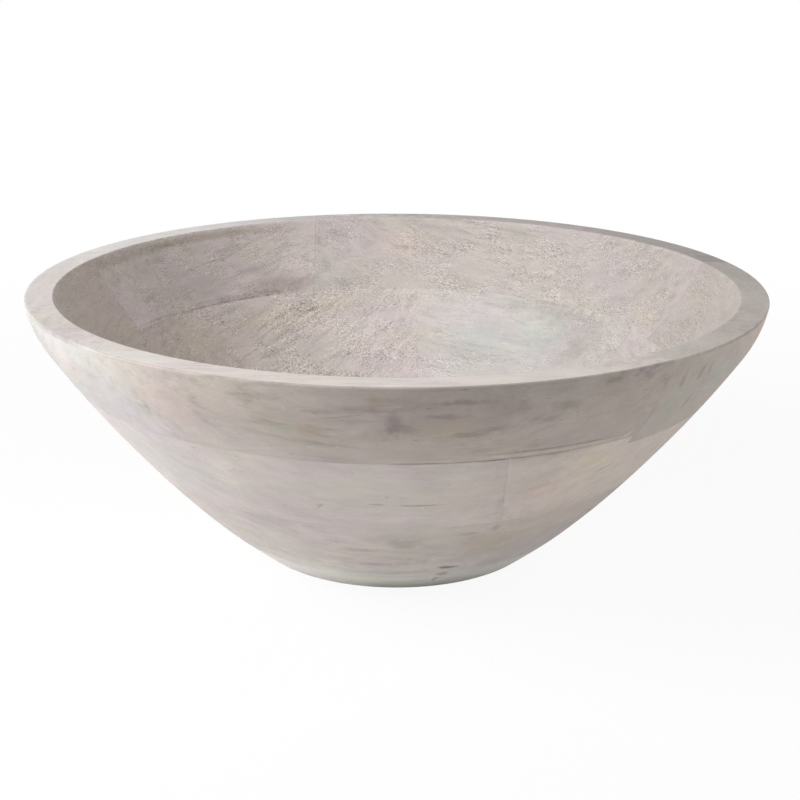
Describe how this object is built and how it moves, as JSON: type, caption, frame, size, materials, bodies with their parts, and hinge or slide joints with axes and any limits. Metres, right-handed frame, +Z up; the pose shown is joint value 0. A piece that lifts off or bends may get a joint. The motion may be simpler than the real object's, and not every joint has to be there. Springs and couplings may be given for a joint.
{
  "type": "dough bowl",
  "caption": "Round wooden dough bowl, glued up from blocks and boards in stacked courses and turned, with a flat rim, a ball-shaped hollow and a flat base.",
  "frame": {"origin": "centre of the standing flat, on the table", "axes": "+Z up along the turning axis, -Y towards the side that faces the viewer, +X to the viewer's right"},
  "size_m": [0.356, 0.356, 0.132],
  "materials": {
    "washed_wood_light": "matt, pale wash over light wood",
    "washed_wood_warm": "matt, pale wash over brownish wood",
    "washed_wood_grey": "matt, grey wash"
  },
  "bodies": {
    "root": {"rim_block_front": "washed_wood_warm", "rim_block_right": "washed_wood_grey", "rim_block_back": "washed_wood_grey", "rim_block_back_left": "washed_wood_grey", "rim_block_left": "washed_wood_light", "wall_block_front": "washed_wood_light", "wall_block_front_right": "washed_wood_warm", "wall_block_back_right": "washed_wood_light", "wall_block_back": "washed_wood_warm", "wall_block_back_left": "washed_wood_warm", "wall_block_left": "washed_wood_light", "bottom_board_front": "washed_wood_light", "bottom_board_middle": "washed_wood_light", "bottom_board_back": "washed_wood_warm", "base_board_front": "washed_wood_grey", "base_board_middle": "washed_wood_warm", "base_board_back": "washed_wood_grey"}
  },
  "joints": []
}
